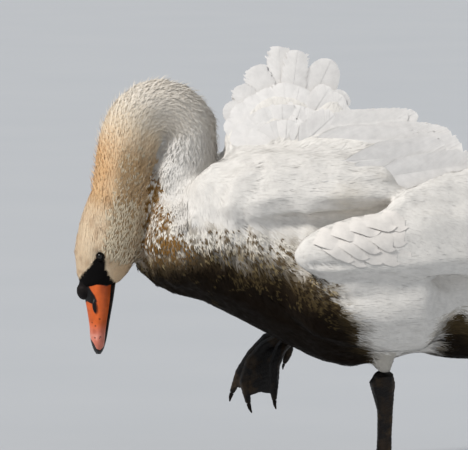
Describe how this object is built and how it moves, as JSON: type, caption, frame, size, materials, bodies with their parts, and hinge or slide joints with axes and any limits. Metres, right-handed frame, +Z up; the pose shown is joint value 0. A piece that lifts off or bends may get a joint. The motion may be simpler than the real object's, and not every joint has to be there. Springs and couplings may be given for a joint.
{
  "type": "mute swan",
  "caption": "Life-size mute swan in mid-step, neck arched over with the bill pointing down, wings folded, shoulder feathers raised in a fan, a webbed foot lifted.",
  "frame": {"origin": "in the flat sole under the ball of the standing left foot", "axes": "+X towards the bird's front, +Y towards its left side, +Z up"},
  "size_m": [0.835, 0.3478, 0.4966],
  "materials": {
    "plumage_white": "clean white contour feathers, muddied dark brown on breast and belly",
    "plumage_buff": "short plush feathers stained buff",
    "orange_horn": "smooth satin horn, orange",
    "black_horn": "smooth satin horn, black",
    "eye": "wet gloss, dark brown",
    "leg_skin": "scaled wet skin, black"
  },
  "bodies": {
    "root": {"bill_lower": "black_horn", "bill_nail": "black_horn", "bill_upper": "orange_horn", "claw_hind_left": "black_horn", "claw_hind_right": "black_horn", "claw_inner_left": "black_horn", "claw_inner_right": "black_horn", "claw_middle_left": "black_horn", "claw_middle_right": "black_horn", "claw_outer_left": "black_horn", "claw_outer_right": "black_horn", "eye_left": "eye", "eye_right": "eye", "foot_left": "leg_skin", "foot_right": "leg_skin", "head": "plumage_buff", "knob": "black_horn", "neck_arch": "plumage_white", "neck_lower": "plumage_white", "neck_upper": "plumage_buff", "primaries_left": "plumage_white", "primaries_right": "plumage_white", "raised_feathers_left": "plumage_white", "raised_feathers_right": "plumage_white", "scapulars_left": "plumage_white", "scapulars_right": "plumage_white", "secondaries_left": "plumage_white", "secondaries_right": "plumage_white", "tail": "plumage_white", "tarsus_left": "leg_skin", "tarsus_right": "leg_skin", "thigh_left": "plumage_white", "thigh_right": "plumage_white", "trunk": "plumage_white", "wing_left": "plumage_white", "wing_right": "plumage_white"}
  },
  "joints": []
}
